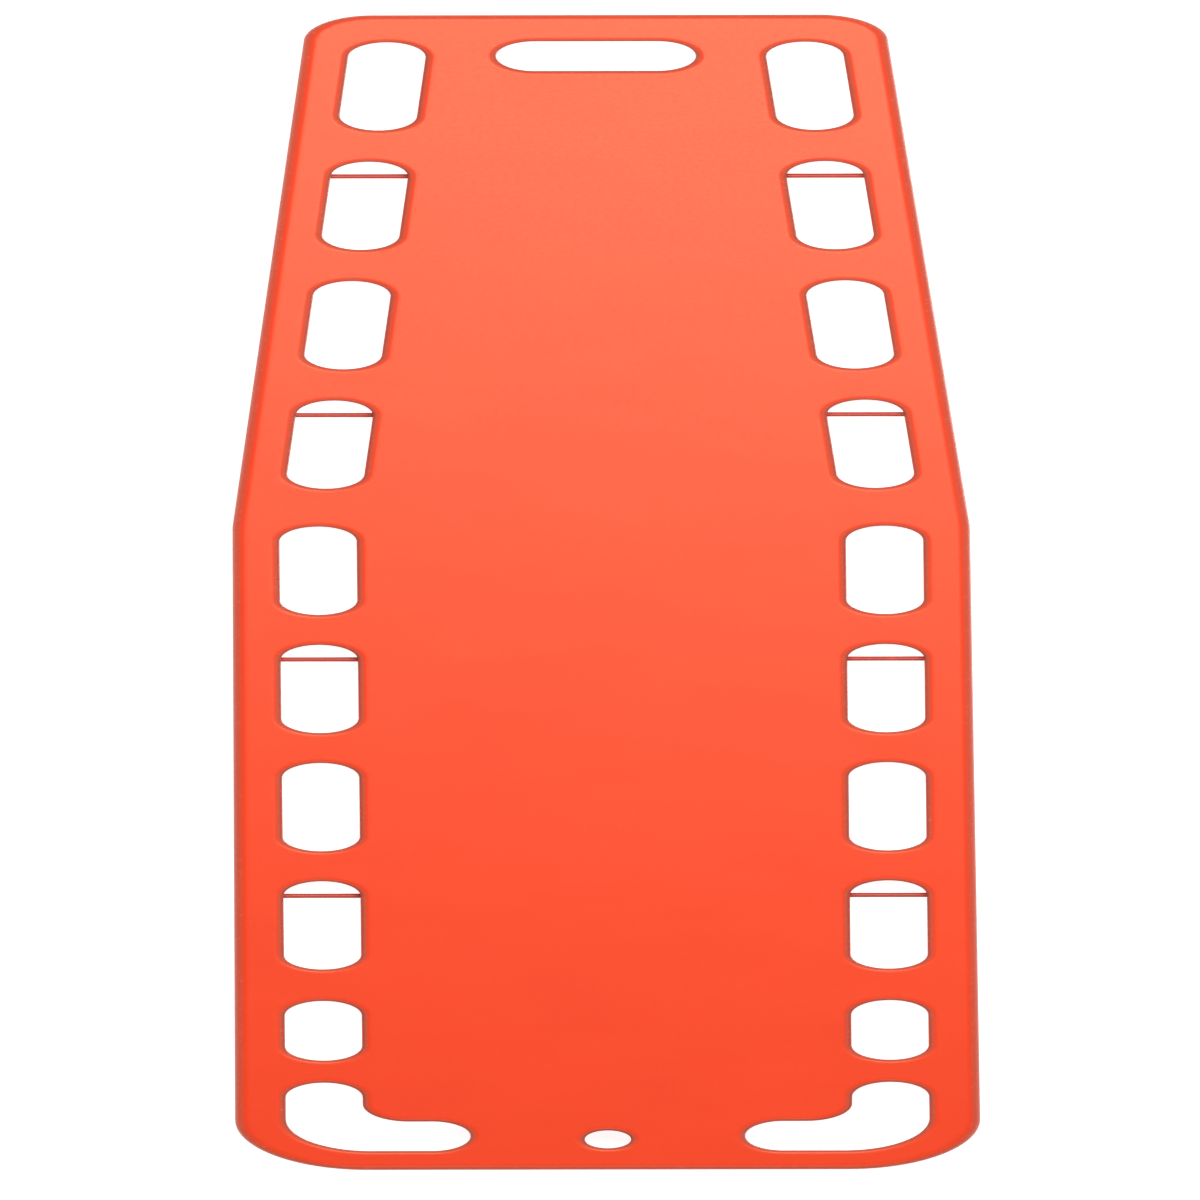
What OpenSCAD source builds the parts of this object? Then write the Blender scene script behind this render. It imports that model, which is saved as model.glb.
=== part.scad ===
// Spine board: a hollow moulded deck with handholds along both sides, filled
// with rigid foam, with cross pins moulded into every second handhold.
// Millimetres. X runs across the board, Y runs along it towards the narrow end,
// Z points up. The origin is on the ground, under the middle of the board.

/* [Board] */
// Length over both ends
board_length = 1840; // [1700:10:1900]
// Width at the narrow end, where the sides meet its edge
narrow_width = 350; // [330:1:370]
// Width at the shoulders, where the taper starts
shoulder_width = 448; // [430:1:460]
// Width at the wide end, where the sides meet its edge
wide_width = 453; // [445:1:470]
// Length of the tapered part, from the narrow end to the shoulders
taper_length = 815; // [760:5:850]
// Thickness of the deck without its runners
deck_thickness = 44; // [36:1:56]
// Thickness of the moulded wall
wall = 3.2; // [2.4:0.1:4.5]

/* [Outline] */
// Radius of the two corners at the narrow end
narrow_corner_radius = 42; // [30:1:55]
// Radius of the two corners at the wide end
wide_corner_radius = 80; // [65:1:95]
// Radius of the soft bend at each shoulder
shoulder_radius = 160; // [60:10:200]
// Radius of the roll along the deck's edge and round every handhold
edge_roll = 8; // [6:0.5:10]

/* [Handholds] */
// Width of every handhold
slot_width = 46.6; // [40:0.1:50]
// Length of a side handhold
slot_length = 140; // [120:1:150]
// Length of the short handhold next to each corner handhold
short_slot_length = 94.5; // [80:0.5:105]
// Width of the rail that is left outside the handholds
rail_width = 28.7; // [26:0.1:32]
// Wanted distance from one side handhold to the next
slot_pitch = 189; // [180:1:205]
// Narrow end to the middle of the first handhold
first_slot_from_end = 113.5; // [105:0.5:125]
// Shoulder to the middle of the last handhold in the taper
taper_slot_from_shoulder = 131; // [120:1:145]
// Shoulder to the middle of the first handhold below it
lower_slot_from_shoulder = 70; // [64:1:90]
// Wide end to the middle of the last full-length handhold
lower_slot_from_end = 390; // [375:1:405]
// Wide end to the middle of the short handhold
short_slot_from_end = 222; // [215:1:232]

/* [Corner handholds] */
// Length of a corner handhold along the board
corner_slot_length = 108.6; // [100:0.1:112]
// Reach of a corner handhold across the board
corner_slot_reach = 111.8; // [100:0.1:125]
// Width of the rail between a corner handhold and the wide end
end_rail_width = 30.4; // [26:0.1:34]
// Radius of the inside corner, where the two legs meet
corner_slot_fillet = 28; // [20:1:32]

/* [End openings] */
// Length of the carrying handle across the narrow end
end_handle_length = 121; // [100:1:140]
// Width of that handle along the board
end_handle_width = 47; // [40:0.5:52]
// Narrow end to the middle of that handle
end_handle_from_end = 65.7; // [60:0.1:75]
// Diameter of the round hole at the wide end
hang_hole_diameter = 28; // [22:0.5:32]
// Radius of the roll round that hole
hang_hole_roll = 7; // [5.5:0.5:9]
// Wide end to the middle of that hole
hang_hole_from_end = 48.3; // [44:0.1:58]

/* [Strap pins] */
// Diameter of a strap pin
pin_diameter = 7; // [5:0.5:9]
// Length of pin held in the plastic at each side of its handhold
pin_grip = 14; // [9:0.5:16]
// Middle of the pin to the handhold's end nearest the narrow end
pin_from_slot_end = 23; // [20:0.5:34]
// Plastic round the pin in its socket
socket_wall = 4; // [3:0.5:5]
// Radial clearance of the pin in its socket
pin_clearance = 0.1; // [0.05:0.01:0.2]
// Chamfer on both ends of a pin
pin_chamfer = 0.6; // [0.3:0.1:1]

/* [Runners] */
// Height of the two runners under the deck
runner_height = 6; // [4.5:0.5:10]
// Width of a runner
runner_width = 36; // [28:1:44]
// Middle of the board to the middle of a runner
runner_offset = 60; // [48:1:66]
// Each end of the board to the end of a runner
runner_from_end = 130; // [115:5:200]
// Radius of the roll along a runner's lower edge
runner_roll = 4; // [3.6:0.1:4.4]

/* [Foam ports] */
// Diameter of the two holes through which the foam goes in and the air comes out
port_diameter = 18; // [12:1:24]
// Middle of the board to the middle of each hole, along the board
port_offset = 600; // [450:10:700]
// Diameter of the head of a plug
plug_head_diameter = 27; // [25:0.5:32]
// Thickness of the head of a plug
plug_head_thickness = 2; // [1.2:0.1:3]
// Length of the stem of a plug above the moulded wall
plug_stem = 5; // [3:0.5:8]
// Radial clearance of the stem in its hole
plug_clearance = 0.1; // [0.05:0.01:0.2]
// Space left above the stem of a plug
plug_headroom = 0.5; // [0.3:0.1:1]

/* [Hidden] */
pin_names = [for (side = ["left", "right"]) for (number = [1:4]) str("strap_pin_", side, "_", number)];

roll_steps = 5;
corner_step = 5;
// Share of a pitch that may be missing before a stretch loses a handhold.
pitch_slack = 0.4;
curve_facets = 96;
overshoot = 1;

deck_bottom = runner_height;
deck_top = runner_height + deck_thickness;
deck_middle = (deck_bottom + deck_top) / 2;
narrow_end = board_length / 2;
wide_end = -board_length / 2;
shoulder = narrow_end - taper_length;
slot_inset = rail_width + slot_width / 2;
pin_radius = pin_diameter / 2;
port_radius = port_diameter / 2;

// Angle between each stretch of the side and the length of the board.
taper_angle = atan((shoulder_width - narrow_width) / 2 / taper_length);
flare_angle = atan((wide_width - shoulder_width) / 2 / (shoulder - wide_end));

// Handholds down one side. As many fit in each stretch as the wanted pitch allows,
// and two at the least.
function slot_gaps(stretch) = max(1, floor(stretch / slot_pitch + pitch_slack));
taper_first = narrow_end - first_slot_from_end;
taper_last = shoulder + taper_slot_from_shoulder;
taper_gaps = slot_gaps(taper_first - taper_last);
lower_first = shoulder - lower_slot_from_shoulder;
lower_last = wide_end + lower_slot_from_end;
lower_gaps = slot_gaps(lower_first - lower_last);

function taper_slot(i) = let (y = taper_first - (taper_first - taper_last) * i / taper_gaps)
    [taper_side(y) - slot_inset / cos(taper_angle), y, taper_angle];
function lower_slot(i) = [lower_slot_x, lower_first - (lower_first - lower_last) * i / lower_gaps, 0];
function taper_side(y) = narrow_width / 2 + (narrow_end - y) * tan(taper_angle);

lower_slot_x = shoulder_width / 2 - slot_inset;
side_slots = concat([for (i = [0:taper_gaps]) taper_slot(i)], [for (i = [0:lower_gaps]) lower_slot(i)]);

// The last handhold of each stretch holds a strap pin, and so does the one two before it.
function pinned_before(gaps) = max(0, gaps - 2);
pinned_slots = [
    taper_slot(pinned_before(taper_gaps)), taper_slot(taper_gaps),
    lower_slot(pinned_before(lower_gaps)), lower_slot(lower_gaps)
];

// The deck's corners down the right side: where its edges would meet, the
// directions that the two edges face, and the radius of the corner.
corners = [
    [[wide_width / 2, wide_end], -90, flare_angle, wide_corner_radius],
    [[shoulder_width / 2, shoulder], flare_angle, taper_angle, shoulder_radius],
    [[narrow_width / 2, narrow_end], taper_angle, 90, narrow_corner_radius]
];

// Middle of a round corner of the given radius, between two edges that would meet
// at a point and that face the angles a and b.
function corner_middle(point, a, b, radius) =
    point - radius / (1 + cos(a - b)) * [cos(a) + cos(b), sin(a) + sin(b)];

// Points along an arc, in as many steps as every roll has.
function arc_points(middle, radius, from, to) =
    [for (i = [0:roll_steps]) let (a = from + (to - from) * i / roll_steps) middle + radius * [cos(a), sin(a)]];

// Section of an opening beside its wall: the wall stands at x = 0 and rolls away
// from the opening at the top and at the bottom. The opening reaches depth to
// the left. With an inset it is the section of the foam's opening instead.
module opening_section(roll, depth, inset) {
    polygon(concat(
        [[-depth, deck_bottom - overshoot], [roll, deck_bottom - overshoot]],
        arc_points([roll, deck_bottom + roll], roll - inset, 270, 180),
        arc_points([roll, deck_top - roll], roll - inset, 180, 90),
        [[roll, deck_top + overshoot], [-depth, deck_top + overshoot]]
    ));
}

// Straight wall of an opening, along Y, with the opening on its left.
module straight_cut(length, depth, inset) {
    rotate([90, 0, 0])
        linear_extrude(length, center = true)
            opening_section(edge_roll, depth, inset);
}

// Round end or corner of an opening, which turns round the opening's inside.
module round_cut(radius, angle, roll, inset) {
    rotate_extrude(angle = angle, $fn = curve_facets)
        translate([radius, 0])
            opening_section(roll, radius, inset);
}

// Inside corner of an opening, which turns round the plastic.
module fillet_cut(radius, angle, depth, inset) {
    rotate_extrude(angle = angle, $fn = curve_facets)
        translate([radius, 0])
            mirror([1, 0])
                opening_section(edge_roll, depth, inset);
}

// Handhold with two full-round ends, along Y.
module slot_cut(length, width, inset) {
    straight = length - width;
    for (turn = [0, 180]) rotate([0, 0, turn]) {
        translate([0, straight / 2, 0])
            round_cut(width / 2, 180, edge_roll, inset);
        translate([width / 2, 0, 0])
            straight_cut(straight, width / 2, inset);
    }
}

// Corner handhold at the right of the wide end: one leg along the side, one
// along the end, with its outer corner round the same middle as the deck's.
module corner_slot_cut(inset) {
    outer_x = lower_slot_x + slot_width / 2;
    outer_y = wide_end + end_rail_width;
    outer_radius = wide_corner_radius - rail_width;
    inner_x = outer_x - slot_width;
    inner_y = outer_y + slot_width;
    leg_top = outer_y + corner_slot_length - slot_width / 2;
    leg_end = outer_x - corner_slot_reach + slot_width / 2;
    bend_x = outer_x - outer_radius;
    bend_y = outer_y + outer_radius;
    fillet_x = inner_x - corner_slot_fillet;
    fillet_y = inner_y + corner_slot_fillet;
    half = slot_width / 2;

    // Round ends of the two legs
    translate([lower_slot_x, leg_top, 0])
        round_cut(half, 180, edge_roll, inset);
    translate([leg_end, outer_y + half, 0])
        rotate([0, 0, 90])
            round_cut(half, 180, edge_roll, inset);
    // Outer wall: along the side, round the corner, along the end
    translate([outer_x, (leg_top + bend_y) / 2, 0])
        straight_cut(leg_top - bend_y, half, inset);
    translate([bend_x, bend_y, 0])
        rotate([0, 0, -90])
            round_cut(outer_radius, 90, edge_roll, inset);
    translate([(leg_end + bend_x) / 2, outer_y, 0])
        rotate([0, 0, -90])
            straight_cut(bend_x - leg_end, half, inset);
    // Inner wall: along the side, round the fillet, along the end
    translate([inner_x, (leg_top + fillet_y) / 2, 0])
        rotate([0, 0, 180])
            straight_cut(leg_top - fillet_y, half, inset);
    translate([fillet_x, fillet_y, 0])
        rotate([0, 0, -90])
            fillet_cut(corner_slot_fillet, 90, slot_width - edge_roll, inset);
    translate([(leg_end + fillet_x) / 2, inner_y, 0])
        rotate([0, 0, 90])
            straight_cut(fillet_x - leg_end, half, inset);
}

// Everything that goes right through the deck.
module openings(inset) {
    for (side = [1, -1]) {
        for (slot = side_slots)
            translate([side * slot[0], slot[1], 0])
                rotate([0, 0, side * slot[2]])
                    slot_cut(slot_length, slot_width, inset);
        translate([side * lower_slot_x, wide_end + short_slot_from_end, 0])
            slot_cut(short_slot_length, slot_width, inset);
    }
    corner_slot_cut(inset);
    mirror([1, 0, 0])
        corner_slot_cut(inset);
    translate([0, narrow_end - end_handle_from_end, 0])
        rotate([0, 0, 90])
            slot_cut(end_handle_length, end_handle_width, inset);
    translate([0, wide_end + hang_hole_from_end, 0])
        round_cut(hang_hole_diameter / 2, 360, hang_hole_roll, inset);
}

// Points round one corner of the deck, drawn in from its edge by the given inset.
// A corner that bends inward has its middle outside the deck, so its radius is negative.
function corner_points(corner, inset) = let (
    bend = corner[2] - corner[1],
    radius = sign(bend) * corner[3],
    middle = corner_middle(corner[0], corner[1], corner[2], radius),
    steps = max(1, ceil(abs(bend) / corner_step))
) [for (i = [0:steps]) let (a = corner[1] + bend * i / steps)
    middle + (radius - inset) * [cos(a), sin(a)]];

// Points round the whole deck, up the right side and down the left.
function deck_points(inset) = let (right = [for (corner = corners) each corner_points(corner, inset)])
    concat(right, [for (i = [len(right) - 1:-1:0]) [-right[i][0], right[i][1]]]);

// The deck without its openings: its outline at each level of the rolled edge.
module deck(inset) {
    levels = concat(
        arc_points([edge_roll, deck_bottom + edge_roll], edge_roll - inset, 270, 180),
        arc_points([edge_roll, deck_top - edge_roll], edge_roll - inset, 180, 90)
    );
    rings = [for (level = levels) [for (p = deck_points(level[0])) [p[0], p[1], level[1]]]];
    count = len(rings[0]);
    top = (len(rings) - 1) * count;
    polyhedron(
        points = [for (ring = rings) each ring],
        faces = concat(
            [[for (i = [0:count - 1]) i]],
            [for (low = [0:count:top - 1], i = [0:count - 1]) let (next = (i + 1) % count)
                [low + i, low + count + i, low + count + next, low + next]],
            [[for (i = [count - 1:-1:0]) top + i]]
        )
    );
}

// Half section of a runner, with its lower edge rolled. It reaches up into the deck.
module runner_section(inset) {
    half = runner_width / 2;
    reach = deck_bottom + 2 * wall;
    polygon(concat(
        [[0, inset]],
        arc_points([half - runner_roll, runner_roll], runner_roll - inset, -90, 0),
        [[half - inset, reach], [0, reach]]
    ));
}

module runners(inset) {
    straight = board_length - 2 * runner_from_end - runner_width;
    for (side = [1, -1], turn = [0, 180])
        translate([side * runner_offset, 0, 0])
            rotate([0, 0, turn]) {
                translate([0, straight / 2, 0])
                    rotate_extrude(angle = 180, $fn = curve_facets)
                        runner_section(inset);
                rotate([90, 0, 0])
                    linear_extrude(straight, center = true)
                        runner_section(inset);
            }
}

// Middle of the strap pin in a handhold on the given side.
function pin_middle(slot, side) = let (up = slot_length / 2 - pin_from_slot_end)
    [side * (slot[0] - up * sin(slot[2])), slot[1] + up * cos(slot[2]), deck_middle];

// Length of the strap pin in a handhold: across the opening and into both sockets.
function pin_length(slot) = slot_width / cos(slot[2]) + 2 * pin_grip;

// A round bar across each pinned handhold, for the sockets and the holes in them.
module pin_bars(radius, extra) {
    for (side = [1, -1], slot = pinned_slots)
        translate(pin_middle(slot, side))
            rotate([0, 90, 0])
                cylinder(r = radius, h = pin_length(slot) + 2 * extra, center = true, $fn = curve_facets);
}

module port_holes() {
    top = deck_bottom + wall + plug_stem + plug_headroom;
    for (end = [1, -1])
        translate([0, end * port_offset, deck_bottom - overshoot])
            cylinder(r = port_radius, h = top - deck_bottom + overshoot, $fn = curve_facets);
}

// The space inside the moulded wall, which goes round the sockets of the pins.
module cavity() {
    difference() {
        union() {
            deck(wall);
            runners(wall);
        }
        openings(wall);
        pin_bars(pin_radius + socket_wall, socket_wall);
    }
}

module board_shell() {
    color("orangered")
        difference() {
            union() {
                deck(0);
                runners(0);
            }
            openings(0);
            cavity();
            pin_bars(pin_radius + pin_clearance, pin_clearance);
            port_holes();
        }
}

module foam_core() {
    color("khaki")
        difference() {
            cavity();
            port_holes();
        }
}

// Steel rod in a moulded coat, chamfered at both ends.
module strap_pin(slot, side) {
    half = pin_length(slot) / 2;
    color("firebrick")
        translate(pin_middle(slot, side))
            rotate([0, 90, 0])
                rotate_extrude($fn = curve_facets)
                    polygon([
                        [0, -half], [pin_radius - pin_chamfer, -half], [pin_radius, -half + pin_chamfer],
                        [pin_radius, half - pin_chamfer], [pin_radius - pin_chamfer, half], [0, half]
                    ]);
}

module strap_pin_left_1() { strap_pin(pinned_slots[0], -1); }
module strap_pin_left_2() { strap_pin(pinned_slots[1], -1); }
module strap_pin_left_3() { strap_pin(pinned_slots[2], -1); }
module strap_pin_left_4() { strap_pin(pinned_slots[3], -1); }
module strap_pin_right_1() { strap_pin(pinned_slots[0], 1); }
module strap_pin_right_2() { strap_pin(pinned_slots[1], 1); }
module strap_pin_right_3() { strap_pin(pinned_slots[2], 1); }
module strap_pin_right_4() { strap_pin(pinned_slots[3], 1); }

// Push-in plug under the deck: its head bears on the wall, its stem fills the hole.
module port_plug() {
    stem = port_radius - plug_clearance;
    tip = deck_bottom + wall + plug_stem;
    head = plug_head_diameter / 2;
    bevel = plug_head_thickness / 2;
    color("dimgray")
        rotate_extrude($fn = curve_facets)
            polygon([
                [0, deck_bottom - plug_head_thickness], [head - bevel, deck_bottom - plug_head_thickness],
                [head, deck_bottom - bevel], [head, deck_bottom], [stem, deck_bottom],
                [stem, tip - bevel], [stem - bevel, tip], [0, tip]
            ]);
}

module fill_plug() { translate([0, port_offset, 0]) port_plug(); }
module vent_plug() { translate([0, -port_offset, 0]) port_plug(); }

board_shell();
foam_core();
strap_pin_left_1();
strap_pin_left_2();
strap_pin_left_3();
strap_pin_left_4();
strap_pin_right_1();
strap_pin_right_2();
strap_pin_right_3();
strap_pin_right_4();
fill_plug();
vent_plug();
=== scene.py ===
import math

import bmesh
import bpy
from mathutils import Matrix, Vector


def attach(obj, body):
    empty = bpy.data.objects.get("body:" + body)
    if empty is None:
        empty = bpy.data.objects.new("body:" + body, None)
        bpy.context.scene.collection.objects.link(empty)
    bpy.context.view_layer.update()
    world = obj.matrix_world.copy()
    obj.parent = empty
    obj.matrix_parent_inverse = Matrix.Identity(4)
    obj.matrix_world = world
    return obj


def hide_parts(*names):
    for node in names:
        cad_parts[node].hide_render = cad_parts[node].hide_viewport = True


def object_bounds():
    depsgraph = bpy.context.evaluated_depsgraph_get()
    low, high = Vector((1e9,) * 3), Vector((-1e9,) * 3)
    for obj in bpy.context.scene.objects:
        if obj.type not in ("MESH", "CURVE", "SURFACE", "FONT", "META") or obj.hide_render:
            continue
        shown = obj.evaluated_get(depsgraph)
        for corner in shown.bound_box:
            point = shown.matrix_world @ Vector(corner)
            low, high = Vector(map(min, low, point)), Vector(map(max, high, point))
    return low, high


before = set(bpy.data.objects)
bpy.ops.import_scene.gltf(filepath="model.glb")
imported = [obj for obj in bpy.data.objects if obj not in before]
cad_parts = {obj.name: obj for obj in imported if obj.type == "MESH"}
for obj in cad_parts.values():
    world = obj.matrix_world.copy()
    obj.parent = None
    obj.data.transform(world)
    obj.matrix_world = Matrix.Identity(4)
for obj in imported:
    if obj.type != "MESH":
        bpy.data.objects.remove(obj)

cad_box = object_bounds()
scene = bpy.context.scene

# Moulded shell, from the outside: the rolled wall round the deck. One hollow
# polyethylene moulding; the mould's two halves meet in a fine line halfway up.
deck_bottom = 0.006
deck_top = cad_box[1].z
deck_middle = (deck_bottom + deck_top) / 2
half_length = cad_box[1].y
narrow_half = 0.175
shoulder_half = 0.224
wide_half = 0.2265
taper_length = 0.815
narrow_corner = 0.042
shoulder_bend = 0.160
wide_corner = 0.080
edge_roll = 0.008
lip = 0.002  # strip of flat face that each swept wall brings along
roll_steps = 8
parting_depth = 0.0004
parting_edge = 0.0012
parting_floor = 0.0005


def rolled_section(roll):
    """Section of a wall, as offsets into the plastic and heights, rolled at both faces."""
    turns = [math.pi / 2 * i / roll_steps for i in range(roll_steps + 1)]
    upper = [(roll * (1 - math.sin(a)), deck_top - roll * (1 - math.cos(a))) for a in turns]
    parting = [(0, deck_middle + parting_edge), (parting_depth, deck_middle + parting_floor)]
    half = [(roll + lip, deck_top)] + upper + parting
    return half + [(offset, 2 * deck_middle - height) for offset, height in reversed(half)]


def sweep(shell, section, corners):
    """Sweeps a section round a polygon of (x, y, radius) corners.

    The section's offsets go to the right of the way round.
    """
    degrees_a_step = 3.75
    fewest_steps = 4
    shortest_side = 1e-5
    weld = 2e-5
    count = len(corners)
    points = [Vector((x, y, 0)) for x, y, radius in corners]
    ways = [(points[(i + 1) % count] - points[i]).normalized() for i in range(count)]
    angles = [
        math.atan2(ways[i - 1].cross(ways[i]).z, ways[i - 1].dot(ways[i])) for i in range(count)
    ]
    tangents = [corners[i][2] * math.tan(abs(angles[i]) / 2) for i in range(count)]
    here = points[-1] + ways[-1] * tangents[-1]
    right = Vector((ways[-1].y, -ways[-1].x, 0))
    wall = bmesh.new()
    verts = [
        wall.verts.new(here + right * offset + Vector((0, 0, height))) for offset, height in section
    ]
    rail = verts + [wall.edges.new(pair) for pair in zip(verts, verts[1:])]
    for i in range(count):
        start = points[i] - ways[i - 1] * tangents[i]
        if (start - here).length > shortest_side:
            edges = [g for g in rail if isinstance(g, bmesh.types.BMEdge)]
            made = bmesh.ops.extrude_edge_only(wall, edges=edges)["geom"]
            moved = {g for g in made if isinstance(g, bmesh.types.BMVert)}
            bmesh.ops.translate(wall, verts=list(moved), vec=start - here)
            rail = list(moved) + [
                g for g in made if isinstance(g, bmesh.types.BMEdge) and moved.issuperset(g.verts)
            ]
        left = Vector((-ways[i - 1].y, ways[i - 1].x, 0)) * math.copysign(corners[i][2], angles[i])
        rail = bmesh.ops.spin(
            wall,
            geom=rail,
            cent=start + left,
            axis=(0, 0, 1),
            angle=angles[i],
            steps=max(fewest_steps, round(math.degrees(abs(angles[i])) / degrees_a_step)),
        )["geom_last"]
        here = points[i] + ways[i] * tangents[i]
    bmesh.ops.remove_doubles(wall, verts=wall.verts, dist=weld)
    piece = bpy.data.meshes.new("wall")
    wall.to_mesh(piece)
    wall.free()
    shell.from_mesh(piece)
    bpy.data.meshes.remove(piece)


def both_sides(shell, section, corners):
    """Sweeps the same section round a polygon and round its mirror image."""
    sweep(shell, section, corners)
    sweep(shell, section, [(-x, y, radius) for x, y, radius in reversed(corners)])


def oblong(x, y, half_across, half_along, radius, turn=1):
    """Corners of an oblong round (x, y), anticlockwise, or clockwise where turn is -1."""
    signs = [(-1, -1), (1, -1), (1, 1), (-1, 1)]
    return [(x + half_across * a, y + half_along * b * turn, radius) for a, b in signs]


shell = bmesh.new()
deck_corners = [
    (narrow_half, half_length, narrow_corner),
    (shoulder_half, half_length - taper_length, shoulder_bend),
    (wide_half, -half_length, wide_corner),
]
sweep(
    shell,
    rolled_section(edge_roll),
    deck_corners + [(-x, y, radius) for x, y, radius in reversed(deck_corners)],
)
edge_verts = len(shell.verts)

# Side handholds: eight long ones a side, four in the taper and four below the
# shoulder, and one short one, each with full-round ends and a rolled rim.
rim_roll = 0.0055
half_slot = 0.0233
long_half = 0.070
short_half = 0.04725
edge_to_slot = 0.052
lower_slot_x = 0.172
rows = 4
upper_rows = (0.8065, 0.236)  # middles of the first and the last handhold
lower_rows = (0.035, -0.530)
short_row = -0.698
taper_angle = math.atan((shoulder_half - narrow_half) / taper_length)
places = []
for row in range(rows):
    y = upper_rows[0] + (upper_rows[1] - upper_rows[0]) * row / (rows - 1)
    edge_x = narrow_half + (half_length - y) * math.tan(taper_angle)
    places.append((edge_x - edge_to_slot / math.cos(taper_angle), y, taper_angle, long_half))
for row in range(rows):
    y = lower_rows[0] + (lower_rows[1] - lower_rows[0]) * row / (rows - 1)
    places.append((lower_slot_x, y, 0, long_half))
places.append((lower_slot_x, short_row, 0, short_half))
for x, y, angle, half in places:
    along = Vector((-math.sin(angle), math.cos(angle), 0)) * half
    across = Vector((math.cos(angle), math.sin(angle), 0)) * half_slot
    ends = [-along - across, across - along, along + across, along - across]
    both_sides(shell, rolled_section(rim_roll), [(x + e.x, y + e.y, half_slot) for e in ends])

# L-shaped handholds in the two wide corners: one leg along the side and one
# along the end, bent round the same middle as the deck's corner.
slot_width = 2 * half_slot
corner_x = 0.1953
corner_y = -0.8896
end_leg_x = 0.0835
side_leg_y = -0.7810
outer_bend = 0.0513
inner_bend = 0.0280
both_sides(
    shell,
    rolled_section(rim_roll),
    [
        (end_leg_x, corner_y, half_slot),
        (corner_x, corner_y, outer_bend),
        (corner_x, side_leg_y, half_slot),
        (corner_x - slot_width, side_leg_y, half_slot),
        (corner_x - slot_width, corner_y + slot_width, inner_bend),
        (end_leg_x, corner_y + slot_width, half_slot),
    ],
)

# Carrying handle across the narrow end, and the round hole in the wide end.
handle_y = 0.8543
handle_reach = 0.0605
handle_half = 0.0235
sweep(
    shell, rolled_section(rim_roll), oblong(0, handle_y, handle_reach, handle_half, handle_half)
)
hole_y = -0.8717
hole_radius = 0.014
sweep(shell, rolled_section(rim_roll), oblong(0, hole_y, hole_radius, hole_radius, hole_radius))

# Underside: two hollow runners that the board slides and stands on, with a
# small cove where they leave the deck, and the two holes for filling with foam.
runner_x = 0.060
runner_half = 0.018
runner_reach = 0.790
cove = 0.0015
cove_angles = (0.4, 0.8, 1.2)
sole_roll = 0.004
sole_steps = 6
runner_section = [(-cove - lip, deck_bottom), (-cove, deck_bottom)]
runner_section += [
    (cove * math.sin(a) - cove, deck_bottom - cove + cove * math.cos(a)) for a in cove_angles
]
runner_section += [(0, deck_bottom - cove)]
runner_section += [
    (sole_roll * (1 - math.cos(a)), sole_roll * (1 - math.sin(a)))
    for a in [math.pi / 2 * i / sole_steps for i in range(sole_steps + 1)]
]
runner_section += [(sole_roll + lip, 0)]
both_sides(
    shell, runner_section, oblong(runner_x, 0, runner_half, runner_reach, runner_half, turn=-1)
)
port_y = 0.600
port_top = 0.0147
port_radius = 0.009
port_bevel = 0.0004
port_section = [
    (port_bevel + lip, deck_bottom),
    (port_bevel, deck_bottom),
    (0, deck_bottom + port_bevel),
    (0, port_top),
]
for y in (port_y, -port_y):
    sweep(shell, port_section, oblong(0, y, port_radius, port_radius, port_radius))

# The flat faces between the rims: deck, underside, runner soles and port tops.
# Two values go with each point: how steep it is, and how dark the painted shade on its rim is.
level = 1e-6
crease = math.radians(28)
outer_edge_shade = 0.38
handhold_rim_shade = 0.58
for height in (deck_top, deck_bottom, 0, port_top):
    border = [
        e for e in shell.edges
        if e.is_boundary and all(abs(v.co.z - height) < level for v in e.verts)
    ]
    bmesh.ops.triangle_fill(shell, use_beauty=True, edges=border, normal=(0, 0, 1))
bmesh.ops.recalc_face_normals(shell, faces=shell.faces)
shell.normal_update()
rim = shell.verts.layers.float.new("rim")
gripped = shell.verts.layers.float.new("gripped")
# The second value sets how dark the painted shade on the rims is: lighter along the outer edge,
# darker round the openings.
for number, vert in enumerate(shell.verts):
    vert[rim] = 1 - abs(vert.normal.z)
    vert[gripped] = outer_edge_shade if number < edge_verts else handhold_rim_shade
for face in shell.faces:
    face.smooth = True
for edge in shell.edges:
    edge.smooth = edge.calc_face_angle(0) < crease
skin_mesh = bpy.data.meshes.new("moulded_skin")
shell.to_mesh(skin_mesh)
shell.free()
skin = bpy.data.objects.new("moulded_skin", skin_mesh)
scene.collection.objects.link(skin)
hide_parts("board_shell")
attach(skin, "root")


# Its plastic: satin orange polyethylene with the mould's fine grain, slight
# waves from cooling and clouding in the pigment. The rolled rims are darkened
# by painted shade, and knocks leave pale scuffs there.
def material(name):
    """New node material, with its shader and functions that add a node and join two sockets."""
    made = bpy.data.materials.new(name)
    made.use_nodes = True
    tree = made.node_tree
    shader = tree.nodes["Principled BSDF"]

    def node(kind, settings=(), **inputs):
        """Adds a node. An input is a value or a socket, and is named or, as _0, numbered."""
        new = tree.nodes.new("ShaderNode" + kind)
        for key, value in dict(settings).items():
            setattr(new, key, value)
        for key, value in inputs.items():
            known_as = int(key[1:]) if key[1:].isdigit() else key.replace("_", " ")
            socket = new.inputs[known_as]
            if isinstance(value, bpy.types.NodeSocket):
                tree.links.new(value, socket)
            else:
                socket.default_value = value
        return new

    return made, shader, node, tree.links.new


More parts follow.
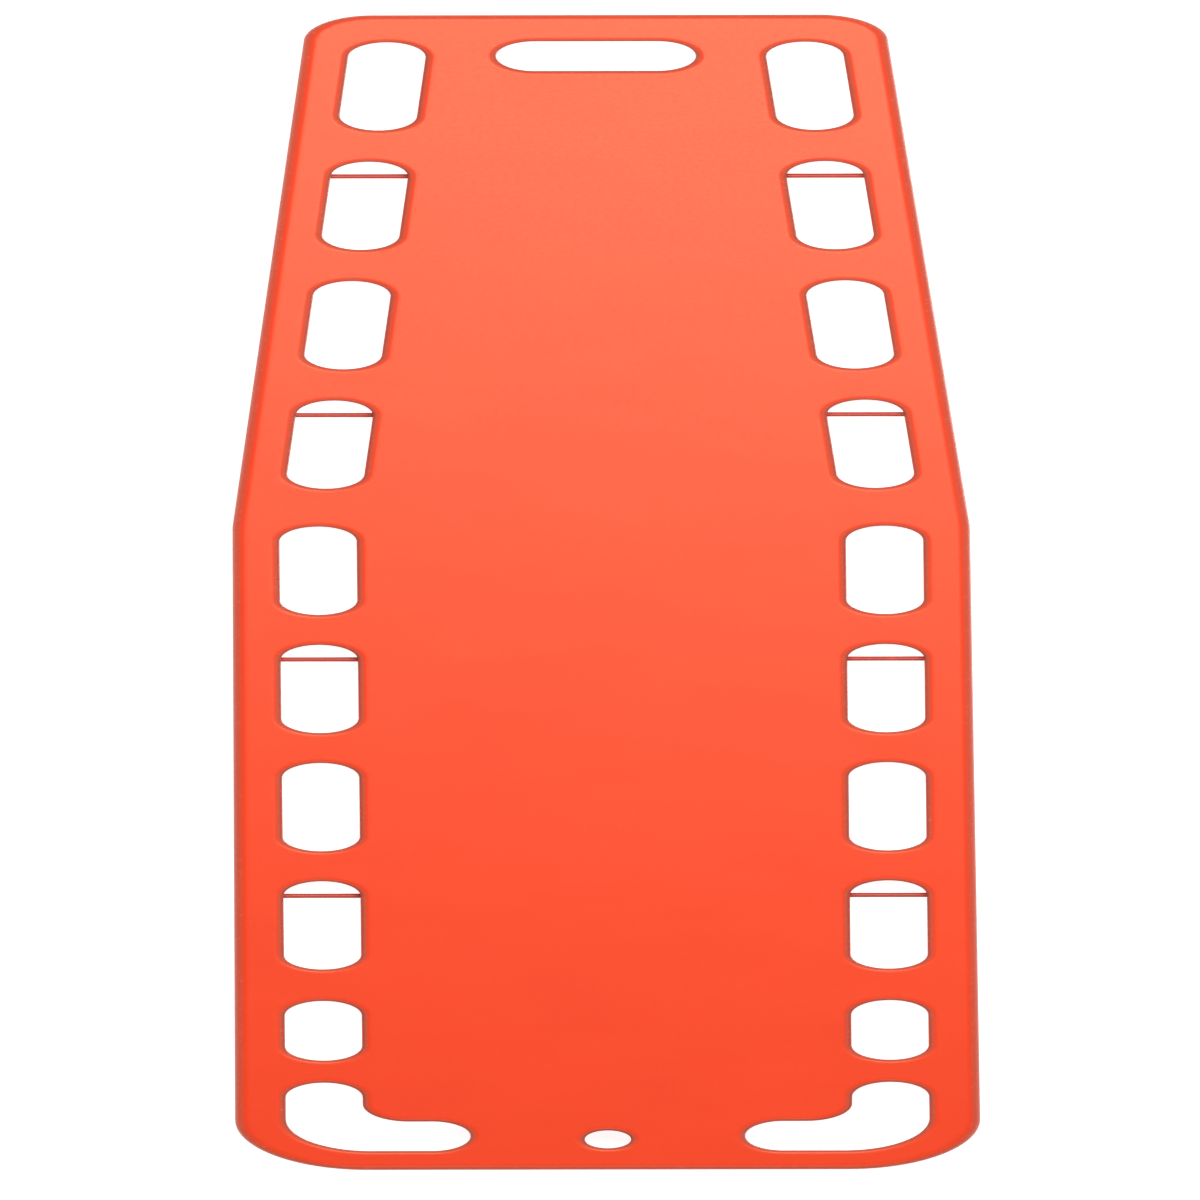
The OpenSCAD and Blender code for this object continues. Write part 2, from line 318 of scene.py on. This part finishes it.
deep_orange = (0.905, 0.043, 0.009, 1)
light_orange = (0.945, 0.049, 0.011, 1)
# The next colour is the painted shade that darkens the rims.
painted_rim_shade = (0.42, 0.152, 0.098, 1)
pale_scuff = (0.90, 0.33, 0.22, 1)
warm_sheen = (1.0, 0.90, 0.58, 1)
plastic, shader, node, join = material("orange_polyethylene")
place = node("TexCoord").outputs["Object"]
cloud = node("TexNoise", Vector=place, Scale=9.0, Detail=4.0, Roughness=0.6)
grain = node("TexNoise", Vector=place, Scale=1100.0, Detail=3.0, Roughness=0.55)
speck = node("TexNoise", Vector=place, Scale=260.0, Detail=5.0, Roughness=0.7)
waves = node("TexNoise", Vector=place, Scale=14.0, Detail=1.0, Roughness=0.4)
stretched = node("Mapping", Vector=place, Scale=(9.0, 1.2, 1.2), Rotation=(0, 0, 0.35))
scratch = node("TexNoise", Vector=stretched.outputs[0], Scale=42.0, Detail=6.0, Roughness=0.75)
hairline = node("MapRange", Value=scratch.outputs[0], From_Min=0.66, From_Max=0.72)
steep = node("Attribute", {"attribute_name": "rim"}).outputs["Fac"]
onset = node("MapRange", Value=steep, From_Min=0.01, From_Max=0.15)
fading = node("MapRange", Value=steep, From_Min=0.70, From_Max=1.0, To_Min=1.0, To_Max=0.0)
rolled = node("Math", {"operation": "MULTIPLY"}, _0=onset.outputs[0], _1=fading.outputs[0])
patchy = node("MapRange", Value=speck.outputs[0], From_Min=0.56, From_Max=0.72, To_Max=0.35)
scuff = node("Math", {"operation": "MULTIPLY"}, _0=rolled.outputs[0], _1=patchy.outputs[0])
fine = node(
    "Math", {"operation": "MULTIPLY_ADD"}, _0=hairline.outputs[0], _1=0.10, _2=scuff.outputs[0]
)
pigment = node("ValToRGB", Fac=cloud.outputs[0])
pigment.color_ramp.elements[0].position = 0.30
pigment.color_ramp.elements[0].color = deep_orange
pigment.color_ramp.elements[1].position = 0.72
pigment.color_ramp.elements[1].color = light_orange
# Painted shade: the steep part of each rolled rim is darkened towards a brown, fading out on the
# upright walls.
shade_amount = node("Attribute", {"attribute_name": "gripped"}).outputs["Fac"]
rim_shade = node("Math", {"operation": "MULTIPLY"}, _0=rolled.outputs[0], _1=shade_amount)
rim_shaded = node("MixRGB", Fac=rim_shade.outputs[0], Color1=pigment.outputs[0], Color2=painted_rim_shade)
colour = node("MixRGB", Fac=fine.outputs[0], Color1=rim_shaded.outputs[0], Color2=pale_scuff)
join(colour.outputs[0], shader.inputs["Base Color"])
gloss = node(
    "MapRange", Value=speck.outputs[0], From_Min=0.3, From_Max=0.7, To_Min=0.32, To_Max=0.38
)
matt = node("Math", {"operation": "MULTIPLY_ADD"}, _0=fine.outputs[0], _1=0.4, _2=gloss.outputs[0])
join(matt.outputs[0], shader.inputs["Roughness"])
wavy = node("Bump", Height=waves.outputs[0], Distance=0.0009, Strength=0.35)
grained = node(
    "Bump", Height=grain.outputs[0], Distance=0.00009, Strength=0.5, Normal=wavy.outputs[0]
)
scored = node(
    "Bump",
    {"invert": True},
    Height=fine.outputs[0],
    Distance=0.0001,
    Strength=0.5,
    Normal=grained.outputs[0],
)
join(scored.outputs[0], shader.inputs["Normal"])
shader.inputs["IOR"].default_value = 1.5
shader.inputs["Specular IOR Level"].default_value = 0.39
shader.inputs["Specular Tint"].default_value = warm_sheen
skin_mesh.materials.append(plastic)

# Foam core: rigid polyurethane poured in through the port, closed small cells
# under a denser skin. It stays the CAD's solid, hidden inside the shell.
dark_cream = (0.70, 0.56, 0.30, 1)
light_cream = (0.82, 0.70, 0.44, 1)
foam, shader, node, join = material("rigid_foam")
place = node("TexCoord").outputs["Object"]
cells = node("TexVoronoi", Vector=place, Scale=420.0)
tint = node("TexNoise", Vector=place, Scale=12.0, Detail=3.0)
cream = node("MixRGB", Fac=tint.outputs[0], Color1=dark_cream, Color2=light_cream)
join(cream.outputs[0], shader.inputs["Base Color"])
pores = node("MapRange", Value=cells.outputs[0], From_Max=0.6, To_Min=0.75, To_Max=0.95)
join(pores.outputs[0], shader.inputs["Roughness"])
bubbly = node("Bump", Height=cells.outputs[0], Distance=0.0006, Strength=0.7)
join(bubbly.outputs[0], shader.inputs["Normal"])
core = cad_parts["foam_core"]
core.data.materials.clear()
core.data.materials.append(foam)

# Strap pins: steel rods in a satin red coat, moulded across every second
# handhold. The strap clips rub the coat paler in patches.
coat_red = (0.50, 0.048, 0.022, 1)
rubbed_red = (0.66, 0.085, 0.040, 1)
coat, shader, node, join = material("pin_coat")
place = node("TexCoord").outputs["Object"]
mottle = node("TexNoise", Vector=place, Scale=90.0, Detail=4.0, Roughness=0.6)
turned = node("Mapping", Vector=place, Scale=(60.0, 900.0, 900.0))
rings = node("TexNoise", Vector=turned.outputs[0], Scale=6.0, Detail=2.0)
rub = node("MapRange", Value=mottle.outputs[0], From_Min=0.55, From_Max=0.75)
red = node("MixRGB", Fac=rub.outputs[0], Color1=coat_red, Color2=rubbed_red)
join(red.outputs[0], shader.inputs["Base Color"])
polish = node(
    "MapRange", Value=mottle.outputs[0], From_Min=0.3, From_Max=0.7, To_Min=0.36, To_Max=0.50
)
join(polish.outputs[0], shader.inputs["Roughness"])
lines = node("Bump", Height=rings.outputs[0], Distance=0.00008, Strength=0.5)
join(lines.outputs[0], shader.inputs["Normal"])
for name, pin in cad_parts.items():
    if name.startswith("strap_pin"):
        pin.data.materials.clear()
        pin.data.materials.append(coat)

# Port plugs: black push-in plugs with a head ringed by grip ribs, fine-grained
# by the mould and greyed by dust where the board is dragged.
plug_black = (0.018, 0.018, 0.020, 1)
dust_grey = (0.060, 0.056, 0.052, 1)
stopper, shader, node, join = material("plug_plastic")
place = node("TexCoord").outputs["Object"]
dust = node("TexNoise", Vector=place, Scale=160.0, Detail=5.0, Roughness=0.65)
leather = node("TexNoise", Vector=place, Scale=1500.0, Detail=2.0)
dusty = node("MapRange", Value=dust.outputs[0], From_Min=0.5, From_Max=0.8)
black = node("MixRGB", Fac=dusty.outputs[0], Color1=plug_black, Color2=dust_grey)
join(black.outputs[0], shader.inputs["Base Color"])
dull = node(
    "MapRange", Value=dust.outputs[0], From_Min=0.3, From_Max=0.7, To_Min=0.42, To_Max=0.62
)
join(dull.outputs[0], shader.inputs["Roughness"])
pebbled = node("Bump", Height=leather.outputs[0], Distance=0.0001, Strength=0.6)
join(pebbled.outputs[0], shader.inputs["Normal"])
head_radius = 0.0135
head_round = 0.0010
head_face = 0.0044
dimple_radius = 0.0018
rib_height = 0.0004
rib_half = 0.0006
ribs = 4
first_rib = 0.0032
rib_pitch = 0.0023
rim_inside = 0.0119
stem_radius = 0.0089
stem_bevel = 0.0010
stem_tip = 0.0142
arc_steps = 6
plug_turn_steps = 96
plug_crease = math.radians(35)
head_low = head_face - rib_height
outline = [
    (0, head_face + rib_height),
    (dimple_radius - rib_height, head_face + rib_height),
    (dimple_radius, head_face),
]
for rib in range(ribs):
    middle = first_rib + rib_pitch * rib
    outline += [
        (middle - rib_half * math.cos(a), head_face - rib_height * math.sin(a))
        for a in [math.pi * i / arc_steps for i in range(arc_steps + 1)]
    ]
outline += [(rim_inside - rib_height, head_face), (rim_inside, head_low)]
outline += [
    (
        head_radius - head_round + head_round * math.sin(a),
        head_low + head_round - head_round * math.cos(a),
    )
    for a in [math.pi / 2 * i / arc_steps for i in range(arc_steps + 1)]
]
outline += [
    (head_radius, deck_bottom),
    (stem_radius, deck_bottom),
    (stem_radius, stem_tip - stem_bevel),
    (stem_radius - stem_bevel, stem_tip),
    (0, stem_tip),
]
for name, y in (("fill_plug", port_y), ("vent_plug", -port_y)):
    plug = bmesh.new()
    verts = [plug.verts.new((radius, y, height)) for radius, height in outline]
    edges = [plug.edges.new(pair) for pair in zip(verts, verts[1:])]
    bmesh.ops.spin(
        plug,
        geom=verts + edges,
        cent=(0, y, 0),
        axis=(0, 0, 1),
        angle=math.tau,
        steps=plug_turn_steps,
        use_merge=True,
    )
    bmesh.ops.remove_doubles(plug, verts=plug.verts, dist=level)
    bmesh.ops.recalc_face_normals(plug, faces=plug.faces)
    for face in plug.faces:
        face.smooth = True
    for edge in plug.edges:
        edge.smooth = edge.calc_face_angle(0) < plug_crease
    plug_mesh = bpy.data.meshes.new(name + "_body")
    plug.to_mesh(plug_mesh)
    plug.free()
    body = bpy.data.objects.new(name + "_body", plug_mesh)
    scene.collection.objects.link(body)
    plug_mesh.materials.append(stopper)
    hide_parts(name)
    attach(body, "root")

# Floor: a plain white studio table, just under the runners. It is clear from
# below and casts no shadow, so that the lamp there reaches the underside. What
# the camera, gloss and glass see of it is lifted to the photograph's white.
floor_half = 8
floor_drop = 0.0004
floor_white = (0.72, 0.72, 0.72, 1)
floor_lift = 0.88
table = bmesh.new()
bmesh.ops.create_grid(table, x_segments=1, y_segments=1, size=floor_half)
table_mesh = bpy.data.meshes.new("studio_floor")
table.to_mesh(table_mesh)
table.free()
floor = bpy.data.objects.new("studio_floor", table_mesh)
floor.location.z = -floor_drop
scene.collection.objects.link(floor)
floor.visible_shadow = False
paint, shader, node, join = material("studio_white")
shader.inputs["Base Color"].default_value = floor_white
shader.inputs["Roughness"].default_value = 0.9
shader.inputs["Emission Color"].default_value = (1, 1, 1, 1)
rays = node("LightPath").outputs
seen = rays["Is Camera Ray"]
for kind in ("Is Glossy Ray", "Is Transmission Ray"):
    seen = node("Math", {"operation": "MAXIMUM"}, _0=seen, _1=rays[kind]).outputs[0]
lift = node("Math", {"operation": "MULTIPLY"}, _0=seen, _1=floor_lift)
join(lift.outputs[0], shader.inputs["Emission Strength"])
below = node("NewGeometry").outputs["Backfacing"]
sided = node("MixShader", _0=below, _1=shader.outputs[0], _2=node("BsdfTransparent").outputs[0])
join(sided.outputs[0], paint.node_tree.nodes["Material Output"].inputs["Surface"])
table_mesh.materials.append(paint)


# Light: a soft box high over the narrow end, leaning down the board, a weak one
# beyond the wide end and one below for the underside. The sheen fades to the
# wide end.
def soft_box(name, place, size, power):
    """Square area light at a place, turned to the middle of the board."""
    data = bpy.data.lights.new(name, "AREA")
    data.shape = "SQUARE"
    data.size = size
    data.energy = power
    lamp = bpy.data.objects.new(name, data)
    scene.collection.objects.link(lamp)
    lamp.location = place
    lamp.rotation_euler = (-Vector(place)).to_track_quat("-Z", "Y").to_euler()
    lamp.visible_camera = False


soft_box("main_box", (0.35, 1.3, 4.2), size=2.2, power=157)
soft_box("weak_box", (0, -3.2, 3.2), size=1.5, power=25)
soft_box("under_box", (1.8, 0.6, -2.6), size=1.2, power=42)

# Room: an even dim light all round, which the camera and glass see as white.
# Gloss sees about half of it, so that the orange stays orange at low angles.
room_light = 0.28
glossy_share = 0.3
room = bpy.data.worlds.new("room")
room.use_nodes = True
nodes = room.node_tree.nodes
join = room.node_tree.links.new
backdrop = nodes["Background"]
backdrop.inputs["Color"].default_value = (1, 1, 1, 1)
rays = nodes.new("ShaderNodeLightPath").outputs
seen = rays["Is Camera Ray"]
for kind, share in (("Is Transmission Ray", 1), ("Is Glossy Ray", glossy_share)):
    added = nodes.new("ShaderNodeMath")
    added.operation = "MULTIPLY_ADD"
    join(rays[kind], added.inputs[0])
    added.inputs[1].default_value = share
    join(seen, added.inputs[2])
    seen = added.outputs[0]
white = nodes.new("ShaderNodeMapRange")
white.inputs["To Min"].default_value = room_light
join(seen, white.inputs["Value"])
join(white.outputs[0], backdrop.inputs["Strength"])
scene.world = room
scene.view_settings.view_transform = "Standard"

# Camera: straight down, without perspective. The photograph is stretched
# sideways, so the camera's own frame is too: a stretch is a turn, a scale and
# a turn back, and the rig holds the turn and the scale.
stretch = 2.624
picture_height = 1.912
picture_middle = (-0.0012, -0.01235)
picture_turn = math.radians(-0.239)
camera_height = 3.0
slant = math.acos(1 / stretch)
rig = bpy.data.objects.new("camera_rig", None)
scene.collection.objects.link(rig)
rig.location = (*picture_middle, camera_height)
rig.rotation_euler = (0, -(math.pi / 4 + slant / 2), picture_turn)
rig.scale = (math.sqrt(1 + math.sin(slant)), 1, math.sqrt(1 - math.sin(slant)))
camera_data = bpy.data.cameras.new("camera")
camera_data.type = "ORTHO"
camera_data.ortho_scale = picture_height
camera = bpy.data.objects.new("camera", camera_data)
scene.collection.objects.link(camera)
camera.parent = rig
camera.rotation_euler = (0, math.pi / 4, 0)
scene.camera = camera
